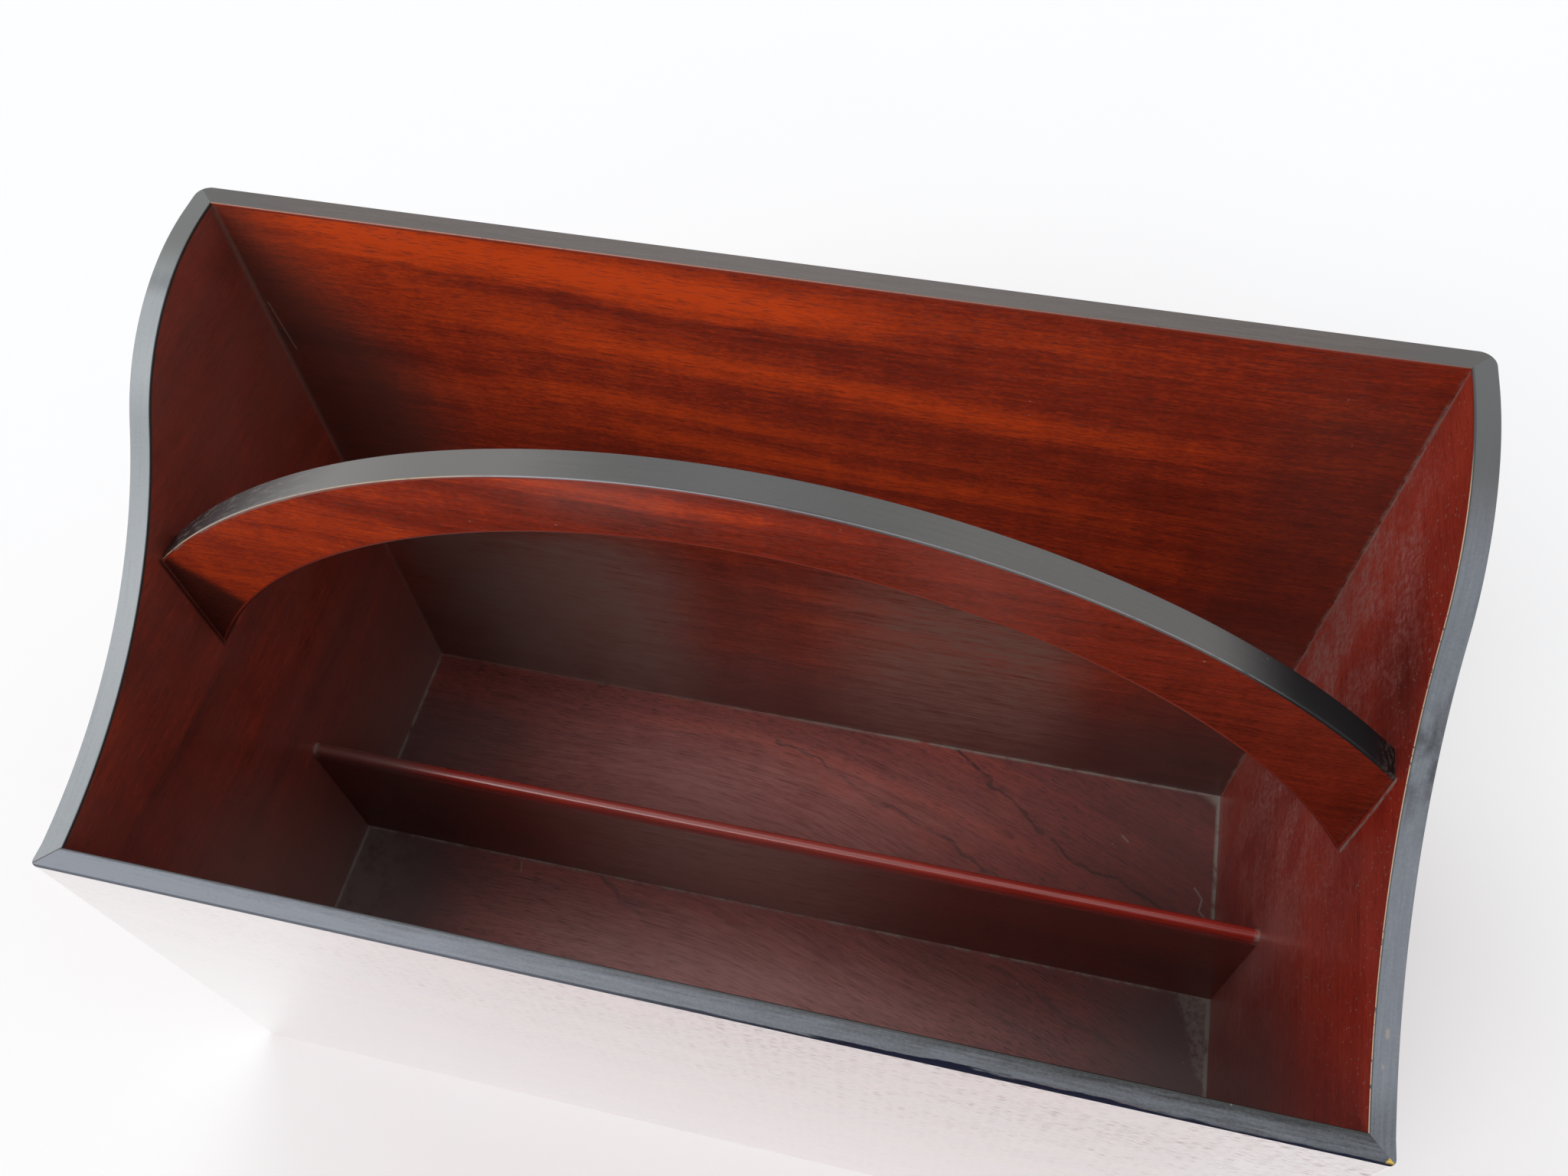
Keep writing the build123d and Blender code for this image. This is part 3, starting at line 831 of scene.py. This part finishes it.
def finish_front_rim():
    """Front edging: black under a slate-blue painted sheen, lighter to the left, with a dark line on both
    sides, the outer one a painted shadow, and a chip.
    """
    paint, rubbed, mottle = lacquer("front_rim", "x")
    x, y, z = paint.x, paint.y, paint.z
    # Painted sheen: lighter to the left, darker along the inner edge.
    inner = (-DEPTH_MM - y + rubbed * 3.0).rise(3.4, 0.6) * x.rise(-170, -60, 0.3, 1.0)
    smear = (x / 13).noise(y / 0.7, 4.0, detail=2.0).rise(0.5, 0.66) * y.band(-85.4, 1.4) * x.rise(60, 130)
    painted_sheen = x.rise(-150, 140, 1.0, 0.25) + rubbed * 0.65 + mottle * 0.5 - inner * 0.26 + smear * 0.2 + 0.04
    coat_lacquer(paint, painted_sheen, "lacquer_haze", rubbed, mottle)
    edge = y + rubbed * 1.1
    paint.lay(edge.rise(-81.85, -81.55) * 0.7, (0.016, 0.018, 0.016))
    # A painted navy shadow line along the outer edge.
    wavy = y - rubbed * x.rise(-20, 60, 0.4, 2.2) - x.band(84, 62) * (rubbed * 1.4 + 0.65)
    outer = wavy.rise(-86.6, -86.95) * x.rise(-60, 60, 0.6, 1.0)
    paint.matte = (outer, (0.014, 0.015, 0.030))
    paint.lay(x.band(100, 26) * y.band(-86.6, 0.35) * 0.6, (0.16, 0.03, 0.025))
    show_mitre(paint, x.rise(-160, -166))
    chip = (x - y + z * 0.6 + mottle * 2.0).rise(361.9, 362.5)
    paint.lay(chip, (0.66, 0.46, 0.09))
    paint.dust(paint.specks(8, 0.4) * 0.5 * x.rise(-160, 60))
    paint.close(0.006, "front_rim")


def finish_side_rims():
    """Edging of the ends under a painted sheen: pale at the left, blue-grey and smudged at the right, darker
    towards the back.
    """
    paint, rubbed, mottle = lacquer("left_rim", "y", gloss=0.28)
    x, y = paint.x, paint.y
    # Painted sheen of the light on the left edging, pale all along.
    painted_sheen = 0.98 + rubbed * 0.4 + mottle * 0.3 - y.band(53, 5) * 0.35
    coat_lacquer(paint, painted_sheen, "lacquer_pale", rubbed, mottle)
    # The painted sheen dims towards the back; the inner face keeps its black.
    paint.lay(y.rise(46, 66) * 0.9, (0.112, 0.114, 0.109))
    paint.lay((x + SIDE_MM).rise(-0.25, -0.08) * 0.9, (0.008, 0.012, 0.010))
    show_mitre(paint, y.rise(-70, -78))
    paint.close(0.006, "left_rim")

    paint, rubbed, mottle = lacquer("right_rim", "y")
    x, y, z = paint.x, paint.y, paint.z
    smudge = (x / 5).noise(y / 7, z / 16, detail=3.0, roughness=0.55).rise(0.36, 0.66)
    marks = y.band(52, 10) * 0.4 + y.band(-2, 20)
    # Painted sheen on the right edging, with smudges in it, dimmer in the middle and at the front.
    painted_sheen = 0.68 + rubbed * 0.5 + mottle * 0.35 - marks * smudge * 0.40
    painted_sheen = painted_sheen - y.band(10, 50) * 0.10 - y.rise(-68, -80) * 0.22
    coat_lacquer(paint, painted_sheen, "lacquer_haze", rubbed, mottle)
    # The painted sheen dims towards the back; the inner edge keeps its black.
    paint.lay(y.rise(28, 56) * 0.9, (0.084, 0.085, 0.084))
    paint.lay((x - SIDE_MM).rise(0.65, 0.4) * 0.75, (0.008, 0.010, 0.012))
    paint.lay((x - SIDE_MM).rise(0.05, 0.01), tones("crimson")[1])
    breaks = (y / 1.1).noise(z / 1.1, 5.0, detail=2.0).rise(0.30, 0.42)
    paint.lay(x.band(168.14, 0.14) * y.rise(60, 44) * breaks, tone_of("bare_wood"))
    dots = line_through(x, y, ((171.2, -58.2), (171.2, -59.8)), 0.7)
    dots = dots.greatest(line_through(x, y, ((170.6, -66), (170.6, -66.6)), 0.6) * 0.7)
    paint.lay(dots * 0.8, tone_of("dust"))
    paint.close(0.006, "right_rim")


def finish_back_rim():
    """Back edging: a warmer grey painted sheen, slate at its ends, with the pink edge of the veneer along its
    inside.
    """
    paint, rubbed, mottle = lacquer("back_rim", "x")
    x, y, z = paint.x, paint.y, paint.z
    # Painted sheen: a warmer grey, turning slate at both ends.
    painted_sheen = 0.70 + rubbed * 0.6 + mottle * 0.3 - abs(x).rise(140, 174) * 0.25
    coat_lacquer(paint, painted_sheen, "lacquer_warm", rubbed, mottle)
    paint.lay(abs(x).rise(140, 170) * 0.7, (0.086, 0.087, 0.085))
    paint.lay(y.rise(81.05, 81.01), tones("mahogany")[1])
    edge = y.band(81.14, 0.16) * (x / 2.5).noise(z / 2.5, 5.0).rise(0.25, 0.45)
    paint.lay(edge * x.rise(170, -80, 0.25, 0.95), (0.50, 0.16, 0.09))
    paint.close(0.006, "back_rim")


def finish_handle_strips():
    """Strips of the handle: black satin under a painted grey sheen over the arch, with a pale line along the
    front arris, bare wood at the left and a painted highlight to the right, and a dull black right end.
    """
    for name in ("handle_top_strip", "handle_under_strip"):
        paint, rubbed, mottle = lacquer(name, "arch", gloss=0.30)
        x, y, z = paint.x, paint.y, paint.z
        # Painted sheen: grey over the arch, dark at both ends.
        painted_sheen = x.rise(-130, -90) * 1.12 - x.rise(-64, -6) * 0.80 + x.rise(16, 60) * 0.42
        painted_sheen = painted_sheen * x.rise(142, 110) + rubbed * 0.24 + mottle * 0.2
        coat_lacquer(paint, painted_sheen, "lacquer_satin", rubbed, mottle)
        faces = abs(y - 2.2).rise(4.17, 4.19)
        if name == "handle_top_strip":
            paint.lay(faces * x.rise(40, -10), tones("mahogany")[1])
            # The pale line along the front arris: bare wood at the left, a painted lavender highlight to the
            # right.
            breaks = (x / 5).noise(z / 5, 2.0, detail=3.0).rise(0.22, 0.42)
            wear_and_highlight = y.band(-1.88, 0.12) * breaks * x.rise(160, 128)
            pale = x.rise(-45, -75).tint((0.40, 0.37, 0.42), tone_of("bare_wood"))
            paint.colour = (wear_and_highlight * x.rise(-60, 60, 0.95, 0.55)).tint(paint.colour, pale)
            streaks = (x / 5).noise(y / 1.2, z / 5, detail=4.0, roughness=0.65).rise(0.50, 0.64)
            paint.lay(x.rise(-100, -114) * streaks * 0.42, (0.19, 0.18, 0.17))
            paint.matte = (x.rise(114, 140) * x.rise(168, 158, 0.4, 0.8), (0.014, 0.014, 0.015))
            paint.lay(x.band(-114, 44) * 0.32, (0.300, 0.295, 0.285))
            end = x.rise(160, 167) * paint.cloudy(2.0, 19, 0.46, 0.60)
            paint.dust(end * 0.4 + paint.specks(6, 0.32) * 0.45)
        else:
            paint.lay(faces, tones("mahogany")[1])
        paint.close(0.006, name)


def finish_boards():
    """The hidden boards and joints: pale core stock, and beech dowels and tongues."""
    walls = ("front_core", "back_core", "left_core", "right_core")
    boards = (
        ("core_stock", "core", "x", 71.0, (*walls, "floor_core", "divider_core", "handle_core")),
        ("beech_dowel", "beech", "x", 75.0, ("left_handle_dowels", "right_handle_dowels")),
        ("beech_tongue", "beech", "z", 79.0, ("front_corner_tongues", "back_corner_tongues")),
    )
    for name, wood_name, along, seed, nodes in boards:
        wood = Finish(name, gloss=0.62)
        wood.grain(along, "y" if along == "x" else "x", seed, wood_name, pore=0.5)
        wood.close(0.02, *nodes)


class MAGAZINE_HOLDER_OT_rims(bpy.types.Operator):
    """Model the four strips of edging along the top of the walls"""

    bl_idname = "magazine_holder.rims"
    bl_label = "Wall edging"

    def execute(self, context):
        sizes = context.scene.magazine_holder_rims
        straight_rim("front_rim", RIM_FRONT, sizes, is_back=False)
        straight_rim("back_rim", RIM_BACK, sizes, is_back=True)
        side_rim("left_rim", -1, sizes)
        side_rim("right_rim", 1, sizes)
        finish_front_rim()
        finish_side_rims()
        finish_back_rim()
        return {"FINISHED"}


class MAGAZINE_HOLDER_OT_handle_strips(bpy.types.Operator):
    """Model the black strips over and under the handle"""

    bl_idname = "magazine_holder.handle_strips"
    bl_label = "Handle edging"

    def execute(self, context):
        sizes = context.scene.magazine_holder_handle
        top, under = HANDLE_TOP, HANDLE_UNDER
        arched_strip("handle_top_strip", top[1].z, sizes.top_rise, top, sizes, is_top=True)
        under_crown = under[1].z - sizes.thickness
        arched_strip("handle_under_strip", under_crown, sizes.under_rise, under, sizes, is_top=False)
        finish_handle_strips()
        return {"FINISHED"}


class MAGAZINE_HOLDER_OT_lipping(bpy.types.Operator):
    """Model the round-nosed lipping of the divider"""

    bl_idname = "magazine_holder.lipping"
    bl_label = "Divider lipping"

    def execute(self, context):
        low, high = LIPPING
        piece = add_block("divider_lipping_nose", low, high)
        open_for_editing(piece)

        def is_long_upper(edge):
            a, b = (v.co for v in edge.verts)
            return min(a.z, b.z) > high.z - CLOSE and abs(a.x - b.x) > 0.1

        choose(piece, "edges", is_long_upper)
        share = context.scene.magazine_holder_lipping.nose_share
        round_edges((high.y - low.y) / 2 * share, 12)
        finish_shape(piece, "hardwood_lipping", "divider_lipping")
        finish_lipping()
        return {"FINISHED"}


class MAGAZINE_HOLDER_OT_wall_finishes(bpy.types.Operator):
    """Finish the veneers of the four walls"""

    bl_idname = "magazine_holder.wall_finishes"
    bl_label = "Wall veneers"

    def execute(self, context):
        finish_back_inner()
        finish_left_inner()
        finish_right_inner()
        finish_front_inner()
        finish_outside()
        return {"FINISHED"}


class MAGAZINE_HOLDER_OT_floor_finishes(bpy.types.Operator):
    """Finish the floor and the divider"""

    bl_idname = "magazine_holder.floor_finishes"
    bl_label = "Floor and divider veneers"

    def execute(self, context):
        finish_floor()
        finish_divider()
        return {"FINISHED"}


class MAGAZINE_HOLDER_OT_handle_finishes(bpy.types.Operator):
    """Finish the faces of the handle"""

    bl_idname = "magazine_holder.handle_finishes"
    bl_label = "Handle veneers"

    def execute(self, context):
        finish_handle()
        return {"FINISHED"}


class MAGAZINE_HOLDER_OT_board_finishes(bpy.types.Operator):
    """Finish the boards, dowels and tongues inside"""

    bl_idname = "magazine_holder.board_finishes"
    bl_label = "Boards and joints"

    def execute(self, context):
        finish_boards()
        return {"FINISHED"}


class MAGAZINE_HOLDER_OT_stage(bpy.types.Operator):
    """Set up the floor, the light and the camera"""

    bl_idname = "magazine_holder.stage"
    bl_label = "Floor, light and camera"

    def execute(self, context):
        settings = context.scene.magazine_holder_stage
        lay_floor(settings)
        add_soft_light("key_light", (-0.40, -0.58, 0.74), radians(36), settings.key_strength)
        add_soft_light("back_light", (-0.15, 0.53, 0.84), radians(32), settings.back_strength)
        add_soft_light("left_light", (-0.62, 0.06, 0.78), radians(34), settings.left_strength)
        light_sky(context.scene, settings)
        place_camera(context.scene)
        context.scene.view_settings.view_transform = "Standard"
        return {"FINISHED"}


def lay_floor(settings):
    """Plain pale floor under the box."""
    deselect_all()
    bpy.ops.mesh.primitive_plane_add(size=14.0, location=(0, 0, 0))
    floor = named("floor")
    pale = Finish("pale_floor", gloss=0.55)
    mottle = (pale.x / 160).noise(pale.y / 160, 0.0, detail=3.0)
    tone = tuple(settings.floor)
    pale.colour = mottle.tint(tuple(value * 0.985 for value in tone), tone)
    pale.roughness = 0.55 + mottle * 0.1
    pale.relief = mottle
    pale.close(0.01, "floor")


def add_soft_light(name, direction, spread, strength):
    """Soft light from far away, from a direction."""
    lamp = bpy.data.lights.new(name, "SUN")
    lamp.energy = strength
    lamp.angle = spread
    light = bpy.data.objects.new(name, lamp)
    light.rotation_euler = Vector(direction).to_track_quat("Z", "Y").to_euler()
    light.location = Vector(direction) * 2
    bpy.context.scene.collection.objects.link(light)


def light_sky(scene, settings):
    """Even light all round, which the camera and reflections see as white."""
    world = bpy.data.worlds.new("studio")
    scene.world = world
    world.use_nodes = True
    tree = world.node_tree
    tree.nodes.clear()
    start = Wire(tree, None)
    path = start.node("ShaderNodeLightPath")
    rays = {socket.name: Wire(tree, socket) for socket in path.socket.node.outputs}
    seen = rays["Is Camera Ray"].greatest(rays["Is Glossy Ray"]).greatest(rays["Is Transmission Ray"])
    strength = settings.sky_strength + seen * (1.0 - settings.sky_strength)
    sky = seen.node("ShaderNodeBackground", inputs={"Color": (1, 1, 1, 1), "Strength": strength})
    sky.node("ShaderNodeOutputWorld", inputs={"Surface": sky})


def place_camera(scene):
    """Camera above the front, looking down into the box."""
    lens = bpy.data.cameras.new("camera")
    lens.sensor_fit = "HORIZONTAL"
    lens.sensor_width = 36.0
    lens.lens = 29.88
    lens.clip_start = 0.01
    camera = bpy.data.objects.new("camera", lens)
    camera.location = (0.06232, -0.16477, 0.49566)
    camera.rotation_euler = (radians(33.1184), radians(2.1987), radians(12.7240))
    scene.collection.objects.link(camera)
    scene.camera = camera


class MAGAZINE_HOLDER_PT_pieces(bpy.types.Panel):
    """Sidebar panel with the steps that dress the magazine holder"""

    bl_label = "Magazine Holder"
    bl_space_type = "VIEW_3D"
    bl_region_type = "UI"
    bl_category = "Magazine Holder"

    def draw(self, context):
        for step in STEPS:
            self.layout.operator(step.bl_idname)


SETTINGS = {
    "magazine_holder_rims": RimSizes,
    "magazine_holder_handle": HandleSizes,
    "magazine_holder_lipping": LippingSizes,
    "magazine_holder_colours": FinishColours,
    "magazine_holder_stage": StageSettings,
}
STEPS = (
    MAGAZINE_HOLDER_OT_rims,
    MAGAZINE_HOLDER_OT_handle_strips,
    MAGAZINE_HOLDER_OT_lipping,
    MAGAZINE_HOLDER_OT_wall_finishes,
    MAGAZINE_HOLDER_OT_floor_finishes,
    MAGAZINE_HOLDER_OT_handle_finishes,
    MAGAZINE_HOLDER_OT_board_finishes,
    MAGAZINE_HOLDER_OT_stage,
)


def register():
    """Registers the settings, the steps and the panel."""
    for name, group in SETTINGS.items():
        bpy.utils.register_class(group)
        setattr(bpy.types.Scene, name, PointerProperty(type=group))
    for step in (*STEPS, MAGAZINE_HOLDER_PT_pieces):
        bpy.utils.register_class(step)


def unregister():
    """Takes them away again."""
    for step in (MAGAZINE_HOLDER_PT_pieces, *reversed(STEPS)):
        bpy.utils.unregister_class(step)
    for name, group in SETTINGS.items():
        delattr(bpy.types.Scene, name)
        bpy.utils.unregister_class(group)


def main():
    """Runs every step in order."""
    register()
    bpy.ops.magazine_holder.rims()
    bpy.ops.magazine_holder.handle_strips()
    bpy.ops.magazine_holder.lipping()
    bpy.ops.magazine_holder.wall_finishes()
    bpy.ops.magazine_holder.floor_finishes()
    bpy.ops.magazine_holder.handle_finishes()
    bpy.ops.magazine_holder.board_finishes()
    bpy.ops.magazine_holder.stage()


if __name__ == "__main__":
    main()
